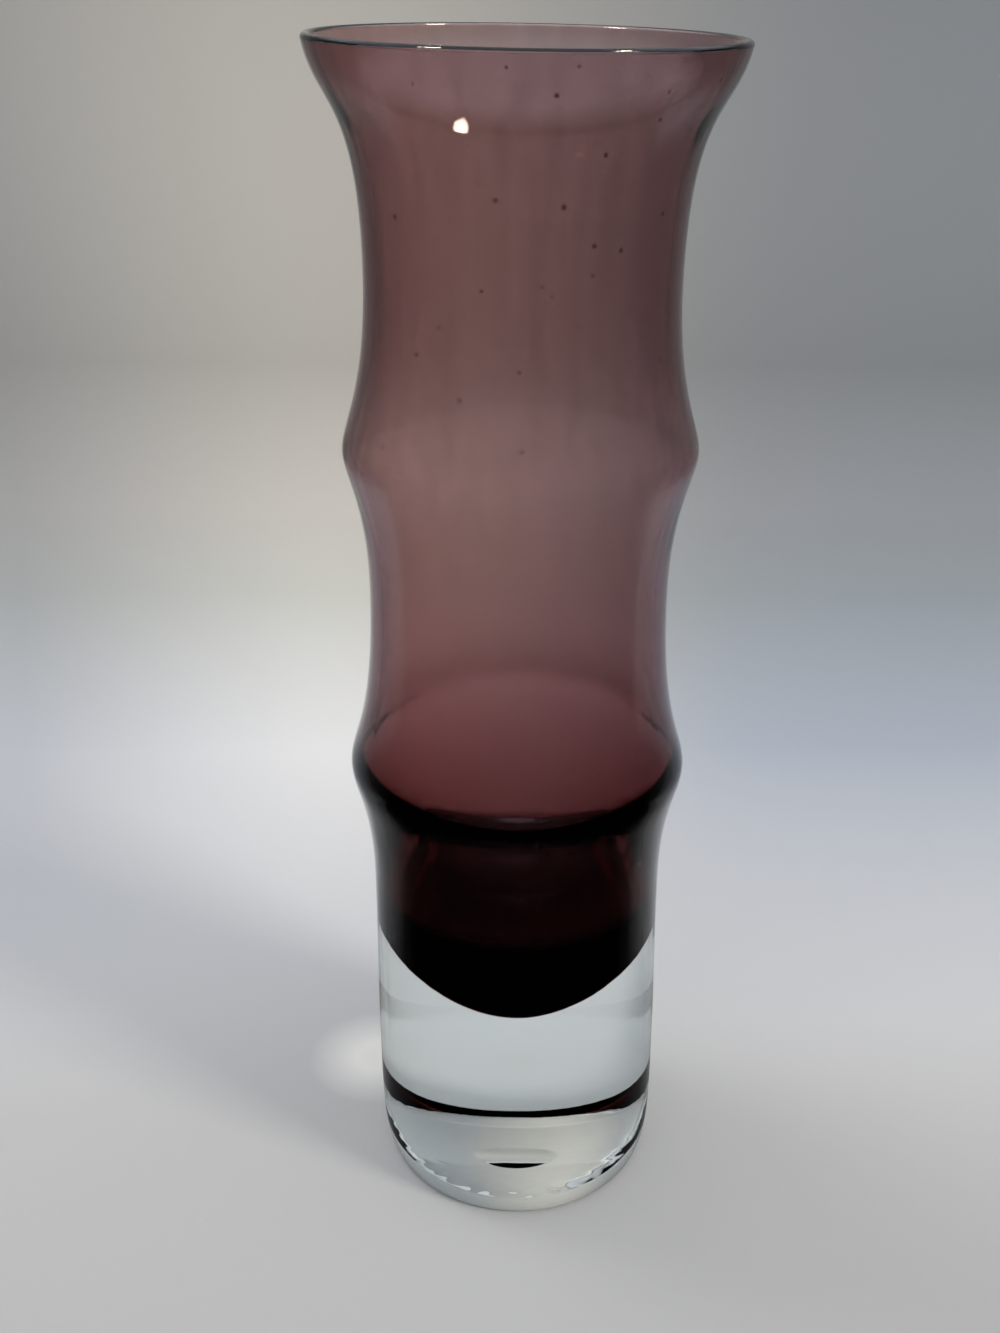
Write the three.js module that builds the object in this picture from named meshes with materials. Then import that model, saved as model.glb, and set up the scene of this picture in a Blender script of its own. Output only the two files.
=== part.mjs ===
// Bamboo-shaped vase of cased glass: an amethyst bubble fused inside a clear casing that ends in a solid foot.
// Lengths are millimetres, +Z is up, and the origin is the middle of the underside on the table.
import * as THREE from "three";

// Heights of the rings on the outside, each above the ring before it
const FOOT_BELLY_HEIGHT = 24.1; // table to the widest ring of the clear foot
const FOOT_WAIST_RISE = 35; // to the slim ring where the coloured bowl begins
const LOWER_NODE_RISE = 23.5; // to the ridge of the lower bamboo joint
const LOWER_WAIST_RISE = 31.5; // to the middle of the lower stem
const UPPER_NODE_RISE = 23.8; // to the ridge of the upper bamboo joint
const UPPER_WAIST_RISE = 26.4; // to the middle of the upper stem
const MOUTH_RISE = 32.8; // to the crown of the lip

// Outside diameters at those rings
const FOOT_BELLY_DIAMETER = 51.4;
const FOOT_WAIST_DIAMETER = 50.6;
const LOWER_NODE_DIAMETER = 57;
const LOWER_WAIST_DIAMETER = 48.6;
const UPPER_NODE_DIAMETER = 55.7;
const UPPER_WAIST_DIAMETER = 47.6;
const MOUTH_DIAMETER = 62.8;

// How far the outline runs on upright, below and above a ring, before it bends away
const FOOT_BELLY_RUN = 12.8;
const FOOT_WAIST_RUN = 15.5;
const NODE_RUN = 3.4;
const LOWER_WAIST_RUN_BELOW = 23;
const LOWER_WAIST_RUN_ABOVE = 15;
const UPPER_WAIST_RUN_BELOW = 17;
const UPPER_WAIST_RUN_ABOVE = 25;
const LIP_RUN = 9.2;
const LIP_LEAN_DEG = 11.5; // outward lean of the mouth just under the lip

// Underside: a flat ring to rest on round a shallow dish with a ground mark in its middle. Outside the ring,
// the heel turns up in a small round and leans out before the wall runs upright.
const REST_DIAMETER = 47.4;
const REST_WIDTH = 7.7;
const HEEL_ROUND = 0.7;
const HEEL_LEAN_DEG = 23;
const HEEL_RUN = 4;
const KICK = 1; // rise of the dish
const PUNTY_DIAMETER = 9; // mark where the vase was held while hot
const PUNTY_DEPTH = 0.4;

// Glass thicknesses: the clear casing, then the amethyst layer behind it at each ring
const CASING = 1.2;
const CASING_FOOT_WAIST = 2.3;
const CASING_MOUTH = 0.5;
const AMETHYST_MOUTH = 0.85;
const AMETHYST_UPPER_WAIST = 0.8;
const AMETHYST_UPPER_NODE = 0.58;
const AMETHYST_LOWER_WAIST = 0.68;
const AMETHYST_LOWER_NODE = 1.05;
const AMETHYST_FOOT_WAIST = 1.6;
const SEAM_CLEARANCE = 0.05; // keeps the two fused layers apart as two solids
const INNER_RIDGE_LIFT = 2.2; // seam and hollow fold this far above the outer ridge of the lower joint
const INNER_RIDGE_RUN = 3;

// Bottom of the amethyst bubble and of the hollow inside it
const BOWL_DEPTH = 24.6; // from the foot's slim ring down to the tip of the amethyst bowl
const BOWL_TIP_RUN = 9.5;
const BOWL_WALL_RUN = 7.5;
const PLUG_THICKNESS = 14.5; // solid amethyst between the bowl's tip and the floor of the hollow
const FLOOR_RUN = 11;
const FLOOR_WALL_RUN = 4;

// Facets
const ROUND_STEPS = 40;
const WAVE_STEPS = 5;
const MOUTH_STEPS = 7;
const BOWL_STEPS = 6;
const HEEL_STEPS = 4;
const LIP_STEPS = 3;
const SIDE_STEPS = 5;
const FOOT_STEPS = 2;
const KICK_STEPS = 3;

const HEEL_LEAN = THREE.MathUtils.degToRad(HEEL_LEAN_DEG);
const LIP_LEAN = THREE.MathUtils.degToRad(LIP_LEAN_DEG);
const UPRIGHT = new THREE.Vector2(0, 1);
const LEVEL = new THREE.Vector2(1, 0);
const HEEL_LEANING = new THREE.Vector2(Math.sin(HEEL_LEAN), Math.cos(HEEL_LEAN));
const LEANING = new THREE.Vector2(Math.sin(LIP_LEAN), Math.cos(LIP_LEAN));
const ACROSS_LIP = new THREE.Vector2(Math.cos(LIP_LEAN), -Math.sin(LIP_LEAN));

// A ring is a point of the profile with the direction and the lengths of its runs below and above.
function ring(radius, height, below, above, direction = UPRIGHT) {
  return { at: new THREE.Vector2(radius, height), below, above, direction };
}

function along(from, direction, length) {
  return from.clone().addScaledVector(direction, length);
}

// The wave of glass between two rings, as one Bezier curve that leaves both along their runs.
function wave(low, high) {
  return new THREE.CubicBezierCurve(
    low.at,
    along(low.at, low.direction, low.above),
    along(high.at, high.direction, -high.below),
    high.at,
  );
}

function arc(x, y, radiusX, radiusY, fromDeg, toDeg) {
  const from = THREE.MathUtils.degToRad(fromDeg);
  const to = THREE.MathUtils.degToRad(toDeg);
  return new THREE.EllipseCurve(x, y, radiusX, radiusY, from, to, to < from);
}

// Joins sampled curves end to end, keeping each shared point once.
function profile(...stretches) {
  const points = stretches.flatMap(([curve, steps]) => curve.getPoints(steps));
  return points.filter((p, i) => i === 0 || p.distanceTo(points[i - 1]) > 1e-6);
}

function reversed(points) {
  return [...points].reverse();
}

const footBelly = FOOT_BELLY_HEIGHT;
const footWaist = footBelly + FOOT_WAIST_RISE;
const lowerNode = footWaist + LOWER_NODE_RISE;
const lowerWaist = lowerNode + LOWER_WAIST_RISE;
const upperNode = lowerWaist + UPPER_NODE_RISE;
const upperWaist = upperNode + UPPER_WAIST_RISE;
const crown = upperWaist + MOUTH_RISE;

// The lip is a half round over both layers. Its middle lies half a wall inside the outer edge.
const mouthWall = CASING_MOUTH + AMETHYST_MOUTH;
const lipRadius = mouthWall / 2;
const lipMiddle = new THREE.Vector2(
  MOUTH_DIAMETER / 2 - lipRadius,
  crown - lipRadius,
);

function lipRing(inset) {
  const at = along(lipMiddle, ACROSS_LIP, lipRadius - inset);
  return ring(at.x, at.y, LIP_RUN, 0, LEANING);
}

// Angle on the lip's half round, from the outer edge, where a layer that begins at this inset comes out.
function lipAngle(inset) {
  const offset = (lipRadius - inset) / lipRadius;
  return THREE.MathUtils.radToDeg(Math.acos(offset) - LIP_LEAN);
}

function lipRound(fromInset, toInset) {
  return arc(lipMiddle.x, lipMiddle.y, lipRadius, lipRadius, lipAngle(fromInset), lipAngle(toInset));
}

// The rings of the bamboo stem, from the foot's slim ring to the lip, set in by a thickness at each ring.
function stemRings(waistInset, lowNodeInset, lowWaistInset, upNodeInset, upWaistInset, lipInset) {
  const low = ring(FOOT_WAIST_DIAMETER / 2 - waistInset, footWaist, FOOT_WAIST_RUN, FOOT_WAIST_RUN);
  return [
    low,
    ring(LOWER_NODE_DIAMETER / 2 - lowNodeInset, lowerNode, NODE_RUN, NODE_RUN),
    ring(
      LOWER_WAIST_DIAMETER / 2 - lowWaistInset,
      lowerWaist,
      LOWER_WAIST_RUN_BELOW,
      LOWER_WAIST_RUN_ABOVE,
    ),
    ring(UPPER_NODE_DIAMETER / 2 - upNodeInset, upperNode, NODE_RUN, NODE_RUN),
    ring(
      UPPER_WAIST_DIAMETER / 2 - upWaistInset,
      upperWaist,
      UPPER_WAIST_RUN_BELOW,
      UPPER_WAIST_RUN_ABOVE,
    ),
    lipRing(lipInset),
  ];
}

function stemWaves(rings) {
  return rings.slice(1).map((high, i) => {
    const steps = i === rings.length - 2 ? MOUTH_STEPS : WAVE_STEPS;
    return [wave(rings[i], high), steps];
  });
}

// The rings of the seam and of the hollow, where the fold in the lower joint stands higher than outside.
function innerRings(...insets) {
  const [waist, node, ...rest] = stemRings(...insets);
  const fold = ring(node.at.x, node.at.y + INNER_RIDGE_LIFT, INNER_RIDGE_RUN, node.above);
  return [waist, fold, ...rest];
}

// The seam between the layers: the bowl round the bottom of the bubble, then the stem up to the lip.
function seam(clearance) {
  const inset = CASING + clearance;
  const rings = innerRings(
    CASING_FOOT_WAIST + clearance,
    inset,
    inset,
    inset,
    inset,
    CASING_MOUTH + clearance,
  );
  const tip = ring(0, footWaist - BOWL_DEPTH + clearance, 0, BOWL_TIP_RUN, LEVEL);
  const rim = ring(rings[0].at.x, footWaist, BOWL_WALL_RUN, 0);
  return profile([wave(tip, rim), BOWL_STEPS], ...stemWaves(rings));
}

// A shallow dish that meets the table at its outer radius: a parabola over the square of the radius, between
// two radii. The height at the curve's middle point comes from their product.
function dish(from, to, radius, rise) {
  const height = (square) => rise * (1 - square / radius ** 2);
  return new THREE.QuadraticBezierCurve(
    new THREE.Vector2(from, height(from * from)),
    new THREE.Vector2((from + to) / 2, height(from * to)),
    new THREE.Vector2(to, height(to * to)),
  );
}

function heelAndFoot() {
  const restRadius = REST_DIAMETER / 2;
  const kickRadius = restRadius - REST_WIDTH;
  const puntyRadius = PUNTY_DIAMETER / 2;
  const kick = dish(puntyRadius, kickRadius, kickRadius, KICK);
  const heel = arc(restRadius, HEEL_ROUND, HEEL_ROUND, HEEL_ROUND, -90, -HEEL_LEAN_DEG);
  const heelEnd = heel.getPoint(1);
  const heelTop = ring(heelEnd.x, heelEnd.y, 0, HEEL_RUN, HEEL_LEANING);
  const belly = ring(FOOT_BELLY_DIAMETER / 2, footBelly, FOOT_BELLY_RUN, FOOT_BELLY_RUN);
  const waist = ring(FOOT_WAIST_DIAMETER / 2, footWaist, FOOT_WAIST_RUN, FOOT_WAIST_RUN);
  return profile(
    [arc(0, kick.v0.y, puntyRadius, PUNTY_DEPTH, 90, 0), FOOT_STEPS],
    [kick, KICK_STEPS],
    [new THREE.LineCurve(kick.v2, heel.getPoint(0)), 1],
    [heel, HEEL_STEPS],
    [wave(heelTop, belly), SIDE_STEPS],
    [wave(belly, waist), FOOT_STEPS],
  );
}

// The hollow, from the lip down: the stem's waves inside the whole wall, then the rounded floor on the plug.
function hollow() {
  const rings = innerRings(
    CASING_FOOT_WAIST + AMETHYST_FOOT_WAIST,
    CASING + AMETHYST_LOWER_NODE,
    CASING + AMETHYST_LOWER_WAIST,
    CASING + AMETHYST_UPPER_NODE,
    CASING + AMETHYST_UPPER_WAIST,
    mouthWall,
  );
  const floor = ring(0, footWaist - BOWL_DEPTH + PLUG_THICKNESS, 0, FLOOR_RUN, LEVEL);
  const wall = ring(rings[0].at.x, footWaist, FLOOR_WALL_RUN, 0);
  return reversed(profile([wave(floor, wall), BOWL_STEPS], ...stemWaves(rings)));
}

function casingProfile() {
  const stem = stemRings(0, 0, 0, 0, 0, 0);
  return [
    ...heelAndFoot(),
    ...profile(...stemWaves(stem)).slice(1),
    ...profile([lipRound(0, CASING_MOUTH), LIP_STEPS]).slice(1),
    ...reversed(seam(0)),
  ];
}

function bubbleProfile() {
  const inset = CASING_MOUTH + SEAM_CLEARANCE;
  return [
    ...seam(SEAM_CLEARANCE),
    ...profile([lipRound(inset, mouthWall), LIP_STEPS]),
    ...hollow().slice(1),
  ];
}

// Turns a profile of (radius, height) points about the vase's axis.
function turned(name, points, material) {
  const geometry = new THREE.LatheGeometry(points, ROUND_STEPS);
  geometry.rotateX(Math.PI / 2);
  const mesh = new THREE.Mesh(geometry, material);
  mesh.name = name;
  return mesh;
}

const clearGlass = new THREE.MeshStandardMaterial({
  color: 0xe4ecea,
  roughness: 0.03,
  metalness: 0,
  transparent: true,
  opacity: 0.3,
});

const amethystGlass = new THREE.MeshStandardMaterial({
  color: 0x5c2f38,
  roughness: 0.03,
  metalness: 0,
  transparent: true,
  opacity: 0.75,
});

const vase = new THREE.Group();
vase.add(turned("clear_casing", casingProfile(), clearGlass));
vase.add(turned("amethyst_bubble", bubbleProfile(), amethystGlass));

export default vase;
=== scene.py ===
# %% [markdown]
# # A bamboo vase blown in two layers of glass
# The real vase is an amethyst bubble inside a clear casing, and the casing's bottom is a thick clear foot.
# This lesson loads the measured model as a fixed frame, and makes both layers again as fine, smooth surfaces,
# because glass shows every facet. Then it gives them glass that takes its colour from its own depth.

# %% Load the frame
import math

import bpy
import numpy as np
from mathutils import Matrix, Vector


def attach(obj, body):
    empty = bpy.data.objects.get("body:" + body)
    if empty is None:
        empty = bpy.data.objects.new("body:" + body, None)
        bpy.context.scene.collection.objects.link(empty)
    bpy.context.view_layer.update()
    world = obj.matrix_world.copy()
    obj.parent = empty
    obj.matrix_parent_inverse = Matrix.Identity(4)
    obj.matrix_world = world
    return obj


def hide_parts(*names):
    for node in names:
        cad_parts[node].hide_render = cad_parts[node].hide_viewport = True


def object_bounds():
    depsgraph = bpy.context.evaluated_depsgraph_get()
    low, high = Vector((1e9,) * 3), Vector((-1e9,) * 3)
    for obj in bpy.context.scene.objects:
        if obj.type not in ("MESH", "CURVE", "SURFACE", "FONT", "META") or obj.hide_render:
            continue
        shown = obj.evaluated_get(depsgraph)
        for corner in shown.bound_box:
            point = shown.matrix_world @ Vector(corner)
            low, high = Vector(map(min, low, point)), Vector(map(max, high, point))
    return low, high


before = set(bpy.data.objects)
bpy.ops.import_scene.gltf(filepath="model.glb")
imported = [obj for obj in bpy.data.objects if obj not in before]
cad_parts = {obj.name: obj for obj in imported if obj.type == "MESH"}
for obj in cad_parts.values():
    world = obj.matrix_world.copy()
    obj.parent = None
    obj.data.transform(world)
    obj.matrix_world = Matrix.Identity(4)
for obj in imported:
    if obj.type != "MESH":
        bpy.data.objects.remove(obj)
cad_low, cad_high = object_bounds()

MM = 0.001
HEIGHT = cad_high.z / MM
MOUTH_RADIUS = cad_high.x / MM
print(f"the frame is {HEIGHT:.1f} mm tall and {2 * MOUTH_RADIUS:.1f} mm across the mouth")

# %% [markdown]
# ## The camera
# The photograph looks down on the vase from close by. Its outline gives the lens and the place of the camera,
# so the camera comes first and every later choice can be seen from it.

# %% Place the camera
IMAGE_LONG_SIDE = 1333
FOCAL_PIXELS = 1480
SENSOR = 36.0
NEAREST_SEEN = 0.005
CAMERA_PLACE = Vector((-3.46, -223.4, 208.6)) * MM
CAMERA_PITCH = math.radians(26.105)
CAMERA_ROLL = math.radians(0.197)


def placed(name, data):
    """A new object in the scene for a mesh, a camera or a lamp."""
    thing = bpy.data.objects.new(name, data)
    bpy.context.scene.collection.objects.link(thing)
    return thing


def make_camera():
    """A camera that looks along +Y, tipped down by the pitch and turned a little about its own axis."""
    data = bpy.data.cameras.new("camera")
    data.sensor_width = SENSOR
    data.lens = FOCAL_PIXELS / IMAGE_LONG_SIDE * SENSOR
    data.clip_start = NEAREST_SEEN
    forward = Vector((0, math.cos(CAMERA_PITCH), -math.sin(CAMERA_PITCH)))
    across = Vector((1, 0, 0))
    upward = across.cross(forward)
    right = across * math.cos(CAMERA_ROLL) + upward * math.sin(CAMERA_ROLL)
    top = upward * math.cos(CAMERA_ROLL) - across * math.sin(CAMERA_ROLL)
    turn = Matrix((right, top, -forward)).transposed().to_4x4()
    camera = placed("camera", data)
    camera.matrix_world = Matrix.Translation(CAMERA_PLACE) @ turn
    bpy.context.scene.camera = camera
    return camera


camera = make_camera()
print(f"camera with a {camera.data.lens:.1f} mm lens")

# %% [markdown]
# ## The bamboo outline
# A stem of bamboo is a row of ridges with slim waists between them. A glassblower squeezes the waists with
# jacks while the glass turns, so the outline is a smooth wave from ring to ring. Here each ring is a radius
# and a height, with how far the outline runs on straight below and above it, and a Bezier curve joins two
# rings. A row of straight cones would be shorter to write, but glass mirrors every corner.

# %% Rings and waves
UPRIGHT = np.array([0.0, 1.0])
LEVEL = np.array([1.0, 0.0])


def ring(radius, height, below, above, direction=UPRIGHT):
    """A point of the outline with the direction and lengths of its runs, all in millimetres."""
    return {"at": np.array([radius, height]), "below": below, "above": above, "direction": direction}


def wave(low, high, steps):
    """Bezier curve between two rings: (1-t)^3 A + 3t(1-t)^2 B + 3t^2(1-t) C + t^3 D, B and C on the runs."""
    t = np.linspace(0, 1, steps + 1)[:, None]
    a, d = low["at"], high["at"]
    b = a + low["direction"] * low["above"]
    c = d - high["direction"] * high["below"]
    return (1 - t) ** 3 * a + 3 * t * (1 - t) ** 2 * b + 3 * t**2 * (1 - t) * c + t**3 * d


def arc(middle, radius, from_deg, to_deg, steps):
    """Part of a circle: middle plus radius times cos and sin of an angle that runs evenly from end to end."""
    a = np.radians(np.linspace(from_deg, to_deg, steps + 1))
    return np.c_[middle[0] + radius * np.cos(a), middle[1] + radius * np.sin(a)]


def chain(*stretches):
    """Stretches of outline end to end, keeping each shared point once."""
    return np.vstack([stretches[0]] + [s[1:] for s in stretches[1:]])


print("an outline is a chain of waves and arcs between rings")

# %% [markdown]
# ## Sizes
# The outside comes from the photograph's outline. What lies inside shows through the glass: the colour of the
# wall gives the thickness of the amethyst at each ring, the edge of the dark plug gives the bowl, and the
# black band under the lower joint shows that the inner layers fold a little higher than the outer one.

# %% Sizes of the vase in millimetres
FOOT_BELLY, FOOT_WAIST, LOWER_NODE = 24.1, 59.1, 82.6
LOWER_WAIST, UPPER_NODE, UPPER_WAIST = 114.1, 137.9, 164.3
FOOT_BELLY_RADIUS, FOOT_WAIST_RADIUS = 25.7, 25.3
LOWER_NODE_RADIUS, LOWER_WAIST_RADIUS = 28.5, 24.3
UPPER_NODE_RADIUS, UPPER_WAIST_RADIUS = 27.85, 23.8
FOOT_BELLY_RUN, FOOT_WAIST_RUN, NODE_RUN = 12.8, 15.5, 3.4
LOWER_WAIST_RUNS, UPPER_WAIST_RUNS = (23, 15), (17, 25)
REST_RADIUS, HEEL_ROUND = 23.7, 0.7
HEEL_LEAN, HEEL_RUN = math.radians(23), 4.0
KICK_RADIUS, KICK = 16.0, 1.0
PUNTY_RADIUS, PUNTY_DEPTH = 4.5, 0.4
SEAM_GAP = 0.05
CASING = {
    "foot_waist": 2.3, "lower_node": 1.1, "lower_waist": 1.25,
    "upper_node": 1.28, "upper_waist": 1.33, "mouth": 0.62,
}
AMETHYST = {
    "foot_waist": 1.6, "lower_node": 1.15, "lower_waist": 0.63,
    "upper_node": 0.50, "upper_waist": 0.67, "mouth": 0.73,
}
RIDGE_LIFT, RIDGE_RUN = 2.2, 3.0
BOWL_DEPTH, BOWL_TIP_RUN, BOWL_WALL_RUN = 24.6, 9.5, 7.5
PLUG_THICKNESS, FLOOR_RUN, WELL_RUN = 14.5, 11.0, 4.0
LIP_RADIUS = (CASING["mouth"] + AMETHYST["mouth"]) / 2
LIP_LEAN = math.radians(11.5)
LIP_RUN = 9.2
LIP_MIDDLE = np.array([MOUTH_RADIUS - LIP_RADIUS, HEIGHT - LIP_RADIUS])
LEANING = np.array([math.sin(LIP_LEAN), math.cos(LIP_LEAN)])
ACROSS_LIP = np.array([math.cos(LIP_LEAN), -math.sin(LIP_LEAN)])
WAVE_STEPS, MOUTH_STEPS, LIP_STEPS, BOWL_STEPS = 40, 48, 14, 48
UNDER_STEPS, REST_POINTS, HEEL_STEPS, FOOT_STEPS = 80, 10, 24, 40
print(f"wall at the mouth {2 * LIP_RADIUS:.2f} mm, solid plug {PLUG_THICKNESS:.1f} mm")


# %% Stretches of the stem and the lip
def lip_ring(inset):
    """The end of a layer under the lip's half round, set in from the outside by the inset."""
    at = LIP_MIDDLE + ACROSS_LIP * (LIP_RADIUS - inset)
    return ring(at[0], at[1], LIP_RUN, 0, LEANING)


def lip_round(from_inset, to_inset):
    """The stretch of the lip's half round between two insets, as an arc about the lip's middle."""
    ends = np.degrees(np.arccos((LIP_RADIUS - np.array([from_inset, to_inset])) / LIP_RADIUS) - LIP_LEAN)
    return arc(LIP_MIDDLE, LIP_RADIUS, ends[0], ends[1], LIP_STEPS)


def stem_rings(waist, low_node, low_waist, up_node, up_waist, lip):
    """The rings from the foot's slim ring to the lip, each set in from the outside by its own thickness."""
    return [
        ring(FOOT_WAIST_RADIUS - waist, FOOT_WAIST, FOOT_WAIST_RUN, FOOT_WAIST_RUN),
        ring(LOWER_NODE_RADIUS - low_node, LOWER_NODE, NODE_RUN, NODE_RUN),
        ring(LOWER_WAIST_RADIUS - low_waist, LOWER_WAIST, *LOWER_WAIST_RUNS),
        ring(UPPER_NODE_RADIUS - up_node, UPPER_NODE, NODE_RUN, NODE_RUN),
        ring(UPPER_WAIST_RADIUS - up_waist, UPPER_WAIST, *UPPER_WAIST_RUNS),
        lip_ring(lip),
    ]


def lifted(rings):
    """The same rings with the one in the lower joint set higher, as the glass inside it settled."""
    node = rings[1]
    fold = ring(node["at"][0], node["at"][1] + RIDGE_LIFT, RIDGE_RUN, node["above"])
    return [rings[0], fold] + rings[2:]


def stem(rings):
    """The waves through a row of rings, finer in the last one, which flares into the mouth."""
    steps = [WAVE_STEPS] * (len(rings) - 2) + [MOUTH_STEPS]
    return chain(*[wave(a, b, n) for a, b, n in zip(rings, rings[1:], steps)])


outer_stem = stem(stem_rings(*[0] * len(CASING)))
print(f"the stem is {2 * outer_stem[:, 0].min():.1f} mm across where it is slimmest")


# %% Stretches of the foot, the seam and the hollow
def foot():
    """Underside K (1 - (r/R)^2) with the punty mark in its middle, the flat ring, the heel and the side."""
    r = np.linspace(0, KICK_RADIUS, UNDER_STEPS + 1)
    mark = PUNTY_DEPTH * np.clip(1 - (r / PUNTY_RADIUS) ** 2, 0, 1)
    under = np.c_[r, KICK * (1 - (r / KICK_RADIUS) ** 2) + mark]
    rest = np.linspace([KICK_RADIUS, 0], [REST_RADIUS, 0], REST_POINTS)
    heel = arc((REST_RADIUS, HEEL_ROUND), HEEL_ROUND, -90, -math.degrees(HEEL_LEAN), HEEL_STEPS)
    leaning = np.array([math.sin(HEEL_LEAN), math.cos(HEEL_LEAN)])
    belly = ring(FOOT_BELLY_RADIUS, FOOT_BELLY, FOOT_BELLY_RUN, FOOT_BELLY_RUN)
    slim = ring(FOOT_WAIST_RADIUS, FOOT_WAIST, FOOT_WAIST_RUN, FOOT_WAIST_RUN)
    side = wave(ring(*heel[-1], 0, HEEL_RUN, leaning), belly, FOOT_STEPS)
    return chain(under, rest, heel, side, wave(belly, slim, FOOT_STEPS))


def seam(gap):
    """The bowl round the bottom of the bubble as one wave from the tip, then the stem inside the casing."""
    rings = lifted(stem_rings(*[wall + gap for wall in CASING.values()]))
    tip = ring(0, FOOT_WAIST - BOWL_DEPTH + gap, 0, BOWL_TIP_RUN, LEVEL)
    rim = ring(rings[0]["at"][0], FOOT_WAIST, BOWL_WALL_RUN, 0)
    return chain(wave(tip, rim, BOWL_STEPS), stem(rings))


def hollow():
    """The inside from the floor up: one wave round the floor, then the stem set in by the whole wall."""
    rings = lifted(stem_rings(*[CASING[place] + AMETHYST[place] for place in AMETHYST]))
    floor = ring(0, FOOT_WAIST - BOWL_DEPTH + PLUG_THICKNESS, 0, FLOOR_RUN, LEVEL)
    well = ring(rings[0]["at"][0], FOOT_WAIST, WELL_RUN, 0)
    return chain(wave(floor, well, BOWL_STEPS), stem(rings))


print(f"the bowl's tip is {seam(0)[0, 1]:.1f} mm up and the hollow's floor {hollow()[0, 1]:.1f} mm")

# %% Layer outlines, closed from axis to axis
outside = chain(foot(), outer_stem, lip_round(0, CASING["mouth"]))
casing_outline = np.vstack([outside, seam(0)[::-1]])
bubble_skin = seam(SEAM_GAP)
inside = chain(lip_round(CASING["mouth"] + SEAM_GAP, 2 * LIP_RADIUS), hollow()[::-1])
bubble_outline = np.vstack([bubble_skin, inside])
casing_is_seam = np.arange(len(casing_outline) - 1) >= len(outside)
bubble_is_seam = np.arange(len(bubble_outline) - 1) < len(bubble_skin) - 1
print(f"casing outline has {len(casing_outline)} points, bubble outline {len(bubble_outline)}")

# %% [markdown]
# ## Turning the outlines
# A lathe surface is a grid: one parameter runs along the outline, the other round the axis. Hand-blown glass
# is never quite true, so the grid also bows, tilts and swells by a few tenths of a millimetre. A screw
# modifier would turn the outline too, but the grid keeps the seam's faces marked.

# %% Turn an outline into points and faces
ROUND_STEPS = 148
BOW = -0.5
RIM_TILT = math.radians(-0.8)
TILT_START, TILT_LENGTH = 0.7, 0.3
OVAL, OVAL_TURN, OVAL_TWIST = 0.0025, 0.6, 2.0


def turned(outline):
    """Points (r cos a, r sin a, z) for each outline point and angle, with the hand's bow, tilt and oval."""
    a = np.arange(ROUND_STEPS) * 2 * np.pi / ROUND_STEPS
    r, z = outline[:, :1], outline[:, 1:]
    up = z / HEIGHT
    r = r * (1 + OVAL * up * np.cos(2 * (a + OVAL_TURN + OVAL_TWIST * up)))
    x = r * np.cos(a) + BOW * np.sin(np.pi * up)
    y = r * np.sin(a)
    tilt = np.clip((up - TILT_START) / TILT_LENGTH, 0, 1) ** 2
    return np.stack([x, y, z + tilt * x * math.tan(RIM_TILT)], axis=-1)


def lathe_faces(rows, n):
    """Quads between the grid's rows of n points, and a fan from each end row to its point on the axis."""
    i, j = np.meshgrid(np.arange(rows - 1), np.arange(n), indexing="ij")
    k = (j + 1) % n
    quads = np.stack([i * n + j, i * n + k, (i + 1) * n + k, (i + 1) * n + j], axis=-1).reshape(-1, 4)
    j = np.arange(n)
    k = (j + 1) % n
    first = np.stack([np.full(n, rows * n), k, j], axis=-1)
    last = np.stack([np.full(n, rows * n + 1), (rows - 1) * n + j, (rows - 1) * n + k], axis=-1)
    return first.tolist() + quads.tolist() + last.tolist()


print(f"each row of the grid has {ROUND_STEPS} points")


# %% Make the two layers
def smooth_mesh(name, points, faces):
    """A mesh from points in millimetres and the corner numbers of its faces, shaded smooth."""
    mesh = bpy.data.meshes.new(name)
    mesh.from_pydata((points * MM).tolist(), [], faces)
    mesh.polygons.foreach_set("use_smooth", np.ones(len(mesh.polygons), dtype=bool))
    mesh.update()
    return mesh


def layer(name, outline, seam_rows):
    """One closed piece of glass: the turned grid and a point on the bowed axis at each end, seam marked."""
    grid = turned(outline)[1:-1]
    rows, n = grid.shape[:2]
    ends = np.array([[0, 0, outline[0, 1]], [0, 0, outline[-1, 1]]])
    ends[:, 0] = BOW * np.sin(np.pi * ends[:, 2] / HEIGHT)
    mesh = smooth_mesh(name, np.vstack([grid.reshape(-1, 3), ends]), lathe_faces(rows, n))
    flags = np.repeat(seam_rows, n).astype(np.float32)
    mesh.attributes.new("seam", "FLOAT", "FACE").data.foreach_set("value", flags)
    piece = placed(name, mesh)
    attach(piece, "root")
    return piece


casing = layer("clear_casing_glass", casing_outline, casing_is_seam)
bubble = layer("amethyst_bubble_glass", bubble_outline, bubble_is_seam)
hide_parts("clear_casing")
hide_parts("amethyst_bubble")
print(f"casing {len(casing.data.polygons)} faces, bubble {len(bubble.data.polygons)} faces")

# %% [markdown]
# ## The touch of the hand
# Blown glass keeps faint marks of its making: long streaks drawn up the stem as it was pulled, and slow
# dimples where the tools touched it. Both layers have them, so one node group makes the height and each
# material bends its surface with it. The group also gives the streaks alone, because a faint grey darkening
# follows them high in the hollow.

# %% Ripples of blown glass
RIPPLE_VALUES = {"Dimple Scale": 60.0, "Streak Scale": 260.0, "Streaks": 0.35}
STREAK_SQUEEZE = (1, 1, 0.06)


def fill(links, socket, value):
    """Give a socket a value that is another socket or a plain number or colour."""
    if isinstance(value, bpy.types.NodeSocket):
        links.new(value, socket)
    else:
        socket.default_value = value


def maths(nodes, links, operation, *values):
    """One Math node on values that are sockets or plain numbers."""
    node = nodes.new("ShaderNodeMath")
    node.operation = operation
    for socket, value in zip(node.inputs, values):
        fill(links, socket, value)
    return node.outputs[0]


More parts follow.
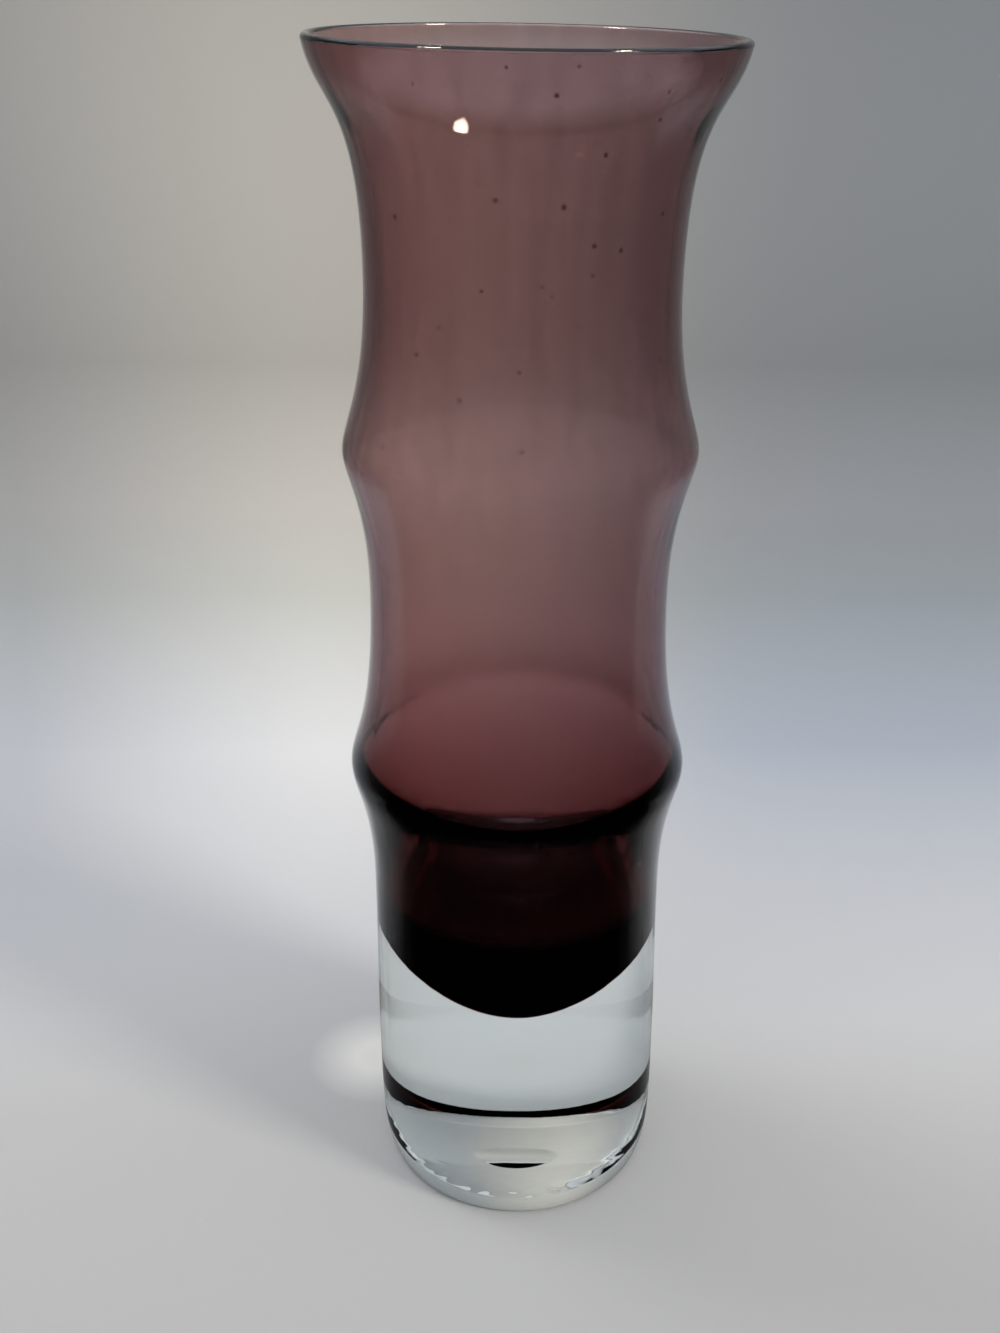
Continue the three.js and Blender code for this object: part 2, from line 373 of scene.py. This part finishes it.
def noise(nodes, links, vector, scale):
    """Soft noise over a vector, with its scale from a socket."""
    node = nodes.new("ShaderNodeTexNoise")
    node.inputs["Detail"].default_value = 1
    links.new(vector, node.inputs["Vector"])
    links.new(scale, node.inputs["Scale"])
    return node.outputs["Fac"]


def ripple_group():
    """Height of the ripples: slow dimples plus streaks, which are noise squeezed along the vase's axis."""
    group = bpy.data.node_groups.new("blown_ripple", "ShaderNodeTree")
    for name, value in RIPPLE_VALUES.items():
        socket = group.interface.new_socket(name, in_out="INPUT", socket_type="NodeSocketFloat")
        socket.default_value = value
    for name in ("Height", "Streak"):
        group.interface.new_socket(name, in_out="OUTPUT", socket_type="NodeSocketFloat")
    nodes, links = group.nodes, group.links
    given = nodes.new("NodeGroupInput").outputs
    place = nodes.new("ShaderNodeTexCoord").outputs["Object"]
    dimples = noise(nodes, links, place, given["Dimple Scale"])
    squeeze = nodes.new("ShaderNodeVectorMath")
    squeeze.operation = "MULTIPLY"
    squeeze.inputs[1].default_value = STREAK_SQUEEZE
    links.new(place, squeeze.inputs[0])
    streaks = noise(nodes, links, squeeze.outputs[0], given["Streak Scale"])
    result = nodes.new("NodeGroupOutput").inputs
    links.new(maths(nodes, links, "MULTIPLY_ADD", streaks, given["Streaks"], dimples), result["Height"])
    links.new(streaks, result["Streak"])
    return group


RIPPLE = ripple_group()
print(f"node group {RIPPLE.name} with {len(RIPPLE.nodes)} nodes")

# %% [markdown]
# ## Grey darkening and specks
# The upper part of the hollow is a little darker and greyer along the streaks, and has a few small specks of
# dirt. Both go into the surface's own colour, which is otherwise white and takes no light. Small pieces of
# mesh would show as lumps.

# %% Grey darkening and specks
CLEAN = (1, 1, 1, 1)
# A faint grey darkening along the streaks, high in the hollow
DARKENING_TINT = (0.90, 0.90, 0.90, 1)
DARKENING_HEIGHTS, DARKENING_STREAKS = (0.10, 0.15), (0.45, 0.65)
SPECK_TINT = (0.16, 0.05, 0.06, 1)
SPECKS_PER_METRE = 170
SPECK_HEIGHTS, SPECK_EDGE = (0.12, 0.18), (0.085, 0.045)


def span(nodes, links, value, low, high):
    """A value turned to run from 0 at low to 1 at high, and held there beyond them."""
    node = nodes.new("ShaderNodeMapRange")
    node.inputs["From Min"].default_value = low
    node.inputs["From Max"].default_value = high
    links.new(value, node.inputs["Value"])
    return node.outputs["Result"]


def blend(nodes, links, kind, factor, first, second):
    """Two colours mixed by a factor, where each of the three is a socket or a plain value."""
    node = nodes.new("ShaderNodeMix")
    node.data_type = "RGBA"
    node.blend_type = kind
    for socket, value in ((0, factor), (6, first), (7, second)):
        fill(links, node.inputs[socket], value)
    return node.outputs[2]


def object_place(nodes, links):
    """The place on the piece in metres, whole and split into X, Y and Z."""
    place = nodes.new("ShaderNodeTexCoord").outputs["Object"]
    split = nodes.new("ShaderNodeSeparateXYZ")
    links.new(place, split.inputs[0])
    return place, split.outputs


def darkened_and_specked(nodes, links, streak):
    """Clean, greyer where the streak is strong, and specks near Voronoi points, both high up the stem."""
    place, axes = object_place(nodes, links)
    cells = nodes.new("ShaderNodeTexVoronoi")
    cells.inputs["Scale"].default_value = SPECKS_PER_METRE
    links.new(place, cells.inputs["Vector"])
    high = span(nodes, links, axes["Z"], *DARKENING_HEIGHTS)
    # grey darkening where the streak is strong, high in the hollow
    darkening = maths(nodes, links, "MULTIPLY", span(nodes, links, streak, *DARKENING_STREAKS), high)
    higher = span(nodes, links, axes["Z"], *SPECK_HEIGHTS)
    dot = span(nodes, links, cells.outputs["Distance"], *SPECK_EDGE)
    speck = maths(nodes, links, "MULTIPLY", dot, higher)
    colour = blend(nodes, links, "MIX", darkening, CLEAN, DARKENING_TINT)
    return blend(nodes, links, "MIX", speck, colour, SPECK_TINT)


print(f"film from {DARKENING_HEIGHTS[0] / MM:.0f} mm up, specks from {SPECK_HEIGHTS[0] / MM:.0f} mm up")

# %% [markdown]
# ## Glass that takes its colour from its depth
# Both layers bend light alike, so light passes the fused seam as if it weren't there. The seam's faces are
# therefore plain transparent, and only the outside and the hollow refract. The colour is a volume: thin walls
# look mauve, and the thick plug is almost black. A tinted surface would give wall and plug the same colour.

# %% Glass materials
GLASS_BEND = 1.5
RIPPLE_DEPTH = 0.12
CLEAR_TAKES = (1.6, 0.6, 0.9)
AMETHYST_TAKES = (770, 1240, 1230)
DENSITY_MARGIN = 1.03


def absorbing(nodes, take_per_metre):
    """A volume that takes this much red, green and blue in a metre, as density times (1 - colour)."""
    volume = nodes.new("ShaderNodeVolumeAbsorption")
    density = max(take_per_metre) * DENSITY_MARGIN
    volume.inputs["Density"].default_value = density
    volume.inputs["Color"].default_value = (*[1 - v / density for v in take_per_metre], 1)
    return volume.outputs[0]


def glass(name, take_per_metre, is_darkened_and_specked):
    """Rippled glass on the outside and in the hollow, transparent at the seam, coloured by its volume."""
    material = bpy.data.materials.new(name)
    material.use_nodes = True
    nodes, links = material.node_tree.nodes, material.node_tree.links
    nodes.clear()
    out = nodes.new("ShaderNodeOutputMaterial")
    surface = nodes.new("ShaderNodeBsdfPrincipled")
    surface.inputs["Base Color"].default_value = CLEAN
    surface.inputs["Roughness"].default_value = 0.0
    surface.inputs["IOR"].default_value = GLASS_BEND
    surface.inputs["Transmission Weight"].default_value = 1.0
    ripple = nodes.new("ShaderNodeGroup")
    ripple.node_tree = RIPPLE
    bump = nodes.new("ShaderNodeBump")
    bump.inputs["Strength"].default_value = 1.0
    bump.inputs["Distance"].default_value = RIPPLE_DEPTH * MM
    links.new(ripple.outputs["Height"], bump.inputs["Height"])
    links.new(bump.outputs[0], surface.inputs["Normal"])
    if is_darkened_and_specked:
        links.new(darkened_and_specked(nodes, links, ripple.outputs["Streak"]), surface.inputs["Base Color"])
    through = nodes.new("ShaderNodeBsdfTransparent")
    at_seam = nodes.new("ShaderNodeAttribute")
    at_seam.attribute_name = "seam"
    mix = nodes.new("ShaderNodeMixShader")
    links.new(at_seam.outputs["Fac"], mix.inputs[0])
    links.new(surface.outputs[0], mix.inputs[1])
    links.new(through.outputs[0], mix.inputs[2])
    links.new(mix.outputs[0], out.inputs["Surface"])
    links.new(absorbing(nodes, take_per_metre), out.inputs["Volume"])
    return material


casing.data.materials.append(glass("clear_glass", CLEAR_TAKES, False))
bubble.data.materials.append(glass("amethyst_glass", AMETHYST_TAKES, True))
print(f"a millimetre of amethyst lets {math.exp(-AMETHYST_TAKES[1] * MM):.0%} of the green through")

# %% [markdown]
# ## The studio
# The photograph has a pale sweep of paper, brighter on the left and cooler on the right, with a dark room
# behind the camera. That light and shade is painted into the paper's colour, by its depth and by a fan of
# lines that spreads towards the back. A picture behind the vase would look right from one side only. Mirrored
# rays see the paper only behind the vase, so that the glass mirrors the dark room elsewhere. A pale spot
# painted on the paper beside the foot is a painted caustic: it stands for the light that the foot gathers
# there.

# %% Sweep of paper, in millimetres
FLOOR_DROP = 0.2
SWEEP_START, SWEEP_ROUND, SWEEP_STEPS = 330.0, 200.0, 32
SWEEP_FRONT, SWEEP_TOP, SWEEP_HALF_WIDTH = -1500.0, 1500.0, 1800.0


def sweep():
    """A profile carried along X: flat floor, a quarter round, then an upright back."""
    bend = arc((SWEEP_START, SWEEP_ROUND), SWEEP_ROUND, -90, 0, SWEEP_STEPS)
    line = np.vstack([[[SWEEP_FRONT, 0.0]], bend, [[SWEEP_START + SWEEP_ROUND, SWEEP_TOP]]])
    x = np.array([[-SWEEP_HALF_WIDTH, SWEEP_HALF_WIDTH]])
    points = np.stack(np.broadcast_arrays(x, line[:, :1], line[:, 1:] - FLOOR_DROP), axis=-1)
    i = np.arange(len(line) - 1)
    faces = np.stack([2 * i, 2 * i + 1, 2 * i + 3, 2 * i + 2], axis=-1)
    piece = placed("paper_sweep", smooth_mesh("paper_sweep", points.reshape(-1, 3), faces.tolist()))
    return piece


paper_sweep = sweep()
print(f"paper sweep of {len(paper_sweep.data.polygons)} strips")

# %% Painted light and shade of the paper by depth and side, in metres
# Painted light and shade by depth: a painted bright band behind the vase, painted shade in front and far back
DEPTH_PAINTED_LIGHT = [
    (-0.100, (0.48, 0.48, 0.48)), (0.000, (0.59, 0.59, 0.59)), (0.054, (0.68, 0.69, 0.71)),
    (0.147, (0.88, 0.88, 0.88)), (0.263, (0.66, 0.66, 0.61)), (0.344, (0.64, 0.61, 0.56)),
    (0.480, (0.43, 0.41, 0.37)), (1.000, (0.64, 0.61, 0.56)),
]
# Painted light and shade by side: painted brighter and warmer on the left, painted shade and cooler on the
# right
SIDE_PAINTED_LIGHT = [
    (-0.31, (0.54, 0.57, 0.63)), (-0.16, (1.0, 1.0, 1.0)), (-0.06, (1.0, 0.99, 0.98)),
    (0.06, (0.63, 0.65, 0.69)), (0.15, (0.50, 0.55, 0.64)), (0.30, (0.48, 0.53, 0.61)),
]
SIDE_STARTS, FAN_BACK = (0.03, 0.15), 0.3
# Painted caustic: a pale spot painted beside the foot for the light that the foot gathers
PAINTED_CAUSTIC_TINT = (1.0, 0.98, 0.94, 1)
PAINTED_CAUSTIC_PLACE, PAINTED_CAUSTIC_EDGE = (-0.029, 0.018, 0.0), (0.014, 0.004)


def ramp(nodes, links, value, stops):
    """A colour that runs through (place, colour) stops as the value rises, places in the value's own unit."""
    low, high = stops[0][0], stops[-1][0]
    node = nodes.new("ShaderNodeValToRGB")
    bar = node.color_ramp.elements
    for k, (place, colour) in enumerate(stops):
        stop = bar[k] if k < 2 else bar.new(1)
        stop.position = (place - low) / (high - low)
        stop.color = (*colour, 1)
    links.new(span(nodes, links, value, low, high), node.inputs[0])
    return node


def paper_painted_light(nodes, links, place, axes):
    """Painted light and shade by depth Y + Z times by the fan X / (depth + back), with a painted caustic over
    it.
    """
    along = maths(nodes, links, "ADD", axes["Y"], axes["Z"])
    depth = ramp(nodes, links, along, DEPTH_PAINTED_LIGHT)
    fan = maths(nodes, links, "DIVIDE", axes["X"], maths(nodes, links, "ADD", along, FAN_BACK))
    side = ramp(nodes, links, fan, SIDE_PAINTED_LIGHT)
    side.color_ramp.interpolation = "B_SPLINE"
    away = span(nodes, links, along, *SIDE_STARTS)
    # painted light and shade of the paper
    painted_light = blend(nodes, links, "MULTIPLY", away, depth.outputs[0], side.outputs[0])
    # painted caustic beside the foot
    from_caustic = nodes.new("ShaderNodeVectorMath")
    from_caustic.operation = "DISTANCE"
    links.new(place, from_caustic.inputs[0])
    from_caustic.inputs[1].default_value = PAINTED_CAUSTIC_PLACE
    painted_caustic = span(nodes, links, from_caustic.outputs["Value"], *PAINTED_CAUSTIC_EDGE)
    return blend(nodes, links, "MIX", painted_caustic, painted_light, PAINTED_CAUSTIC_TINT)


print(f"{len(DEPTH_PAINTED_LIGHT)} tints by depth, {len(SIDE_PAINTED_LIGHT)} by side")

# %% Paper
PAPER_ROUGHNESS, PAPER_GLOSS = 0.8, 0.1
FRONT_EDGE, ASIDE_EDGE = (0.09, 0.0), (0.1, 0.35)


def mirror_ray(nodes, links):
    """1 for a ray that a shiny surface has just reflected, 0 for what is seen directly or through glass."""
    path = nodes.new("ShaderNodeLightPath")
    return maths(nodes, links, "MULTIPLY", path.outputs["Is Glossy Ray"], path.outputs["Is Reflection Ray"])


def paper():
    """Paper with painted light and shade, that mirrored rays pass through in front of the vase and far aside.
    """
    material = bpy.data.materials.new("paper")
    material.use_nodes = True
    nodes, links = material.node_tree.nodes, material.node_tree.links
    surface = nodes["Principled BSDF"]
    surface.inputs["Roughness"].default_value = PAPER_ROUGHNESS
    surface.inputs["Specular IOR Level"].default_value = PAPER_GLOSS
    place, axes = object_place(nodes, links)
    links.new(paper_painted_light(nodes, links, place, axes), surface.inputs["Base Color"])
    front = span(nodes, links, axes["Y"], *FRONT_EDGE)
    aside = span(nodes, links, maths(nodes, links, "ABSOLUTE", axes["X"]), *ASIDE_EDGE)
    away_from_back = maths(nodes, links, "MAXIMUM", front, aside)
    unseen = maths(nodes, links, "MULTIPLY", away_from_back, mirror_ray(nodes, links))
    mix = nodes.new("ShaderNodeMixShader")
    links.new(unseen, mix.inputs[0])
    links.new(surface.outputs[0], mix.inputs[1])
    links.new(nodes.new("ShaderNodeBsdfTransparent").outputs[0], mix.inputs[2])
    links.new(mix.outputs[0], nodes["Material Output"].inputs["Surface"])
    return material


paper_sweep.data.materials.append(paper())
print("paper tinted")

# %% [markdown]
# ## Lights
# An even, slightly cool world gives most of the light, as a light tent does. A warmer softbox in front on the
# right throws the soft shadow to the back left, and a window high at the back on the left throws a fainter
# one to the front right. The glass doesn't show them: mirrored rays see a dark room with a pale ceiling, and
# a few small glints at the mouth.

# %% Lamps
LAMPS = {
    "softbox": {"place": (1.3, -0.8, 1.1), "size": 0.4, "power": 13, "colour": (1.0, 0.93, 0.84)},
    "window": {"place": (-0.7, 0.40, 1.3), "size": 0.5, "power": 4.4, "colour": (1.0, 0.99, 0.98)},
}


def area_light(name, place, size, power, colour):
    """A square lamp at a place in metres, turned to the middle of the vase, that the glass doesn't show."""
    data = bpy.data.lights.new(name, "AREA")
    data.size = size
    data.energy = power
    data.color = colour
    lamp = placed(name, data)
    lamp.location = place
    aim = Vector((0, 0, HEIGHT / 2 * MM)) - Vector(place)
    lamp.rotation_euler = aim.to_track_quat("-Z", "Y").to_euler()
    lamp.visible_glossy = False
    lamp.visible_transmission = False
    return lamp


for lamp_name, values in LAMPS.items():
    area_light(lamp_name, **values)
print(f"{len(LAMPS)} lamps")

# %% Glints
FAR_GLINT = (50, 18.5, 5.5)
LIP_GLINTS = [(-80, 60, 5), (85, 60, 5)]
GLINT_CORE = 0.4
FAR_WALL_CROSSINGS, SAME_COUNT = 2.0, 0.1
ANY_SCATTER = 0.5


def patch(nodes, links, direction, turn_deg, lift_deg, size_deg):
    """1 in a round patch of sky, by the cosine to its middle, turned from the camera's side and lifted."""
    turn, lift, size = np.radians([turn_deg, lift_deg, size_deg])
    middle = (math.sin(turn) * math.cos(lift), -math.cos(turn) * math.cos(lift), math.sin(lift))
    dot = nodes.new("ShaderNodeVectorMath")
    dot.operation = "DOT_PRODUCT"
    links.new(direction, dot.inputs[0])
    dot.inputs[1].default_value = middle
    return span(nodes, links, dot.outputs["Value"], math.cos(size), math.cos(GLINT_CORE * size))


def glints(nodes, links, direction, path):
    """1 where a glint is: one that only the far wall mirrors, others on the lip, none in scattered light."""
    crossings = path["Transmission Depth"]
    far_wall = maths(nodes, links, "COMPARE", crossings, FAR_WALL_CROSSINGS, SAME_COUNT)
    place = maths(nodes, links, "MULTIPLY", far_wall, patch(nodes, links, direction, *FAR_GLINT))
    for glint in LIP_GLINTS:
        place = maths(nodes, links, "MAXIMUM", place, patch(nodes, links, direction, *glint))
    unscattered = maths(nodes, links, "LESS_THAN", path["Diffuse Depth"], ANY_SCATTER)
    return maths(nodes, links, "MULTIPLY", place, unscattered)


print(f"{1 + len(LIP_GLINTS)} glints")

# %% World
WORLD_TINT = (0.74, 0.765, 0.805, 1)
BEHIND_TINT = [(0.0, (0.005, 0.005, 0.005)), (0.51, (0.08, 0.08, 0.08)), (0.85, (0.2, 0.2, 0.2))]
ABOVE_TINT = [(0.34, (0, 0, 0)), (0.58, (2.4, 2.6, 3.0))]
OUTSIDE_SHARE = 0.35
GLINT_COLOUR = (110, 96, 78, 1)


def studio_world():
    """An even pale world; mirrored rays see a dark room, paler behind (Y) and above (Z), with glints."""
    world = bpy.data.worlds.new("studio")
    bpy.context.scene.world = world
    world.use_nodes = True
    nodes, links = world.node_tree.nodes, world.node_tree.links
    split = nodes.new("ShaderNodeSeparateXYZ")
    direction = nodes.new("ShaderNodeTexCoord").outputs["Generated"]
    links.new(direction, split.inputs[0])
    behind = ramp(nodes, links, split.outputs["Y"], BEHIND_TINT).outputs[0]
    above = ramp(nodes, links, split.outputs["Z"], ABOVE_TINT).outputs[0]
    path = nodes.new("ShaderNodeLightPath").outputs
    outside_start = -OUTSIDE_SHARE / (1 - OUTSIDE_SHARE)
    ceiling_share = span(nodes, links, path["Transmission Depth"], outside_start, 1.0)
    mirrored = blend(nodes, links, "LIGHTEN", ceiling_share, behind, above)
    mirrored = blend(nodes, links, "MIX", glints(nodes, links, direction, path), mirrored, GLINT_COLOUR)
    colour = blend(nodes, links, "MIX", mirror_ray(nodes, links), WORLD_TINT, mirrored)
    links.new(colour, nodes["Background"].inputs["Color"])
    nodes["Background"].inputs["Strength"].default_value = 1
    return world


world = studio_world()
print(f"world {world.name} with {len(world.node_tree.nodes)} nodes")

# %% [markdown]
# ## Light paths
# Light crosses many faces of glass before it leaves the vase, so it gets more bounces than usual. The clamp
# takes away stray bright dots.

# %% Light paths
scene = bpy.context.scene
scene.view_settings.view_transform = "Standard"
scene.cycles.max_bounces = 32
scene.cycles.transmission_bounces = 32
scene.cycles.glossy_bounces = 16
scene.cycles.transparent_max_bounces = 48
scene.cycles.sample_clamp_indirect = 60.0
print(f"up to {scene.cycles.max_bounces} bounces of light")
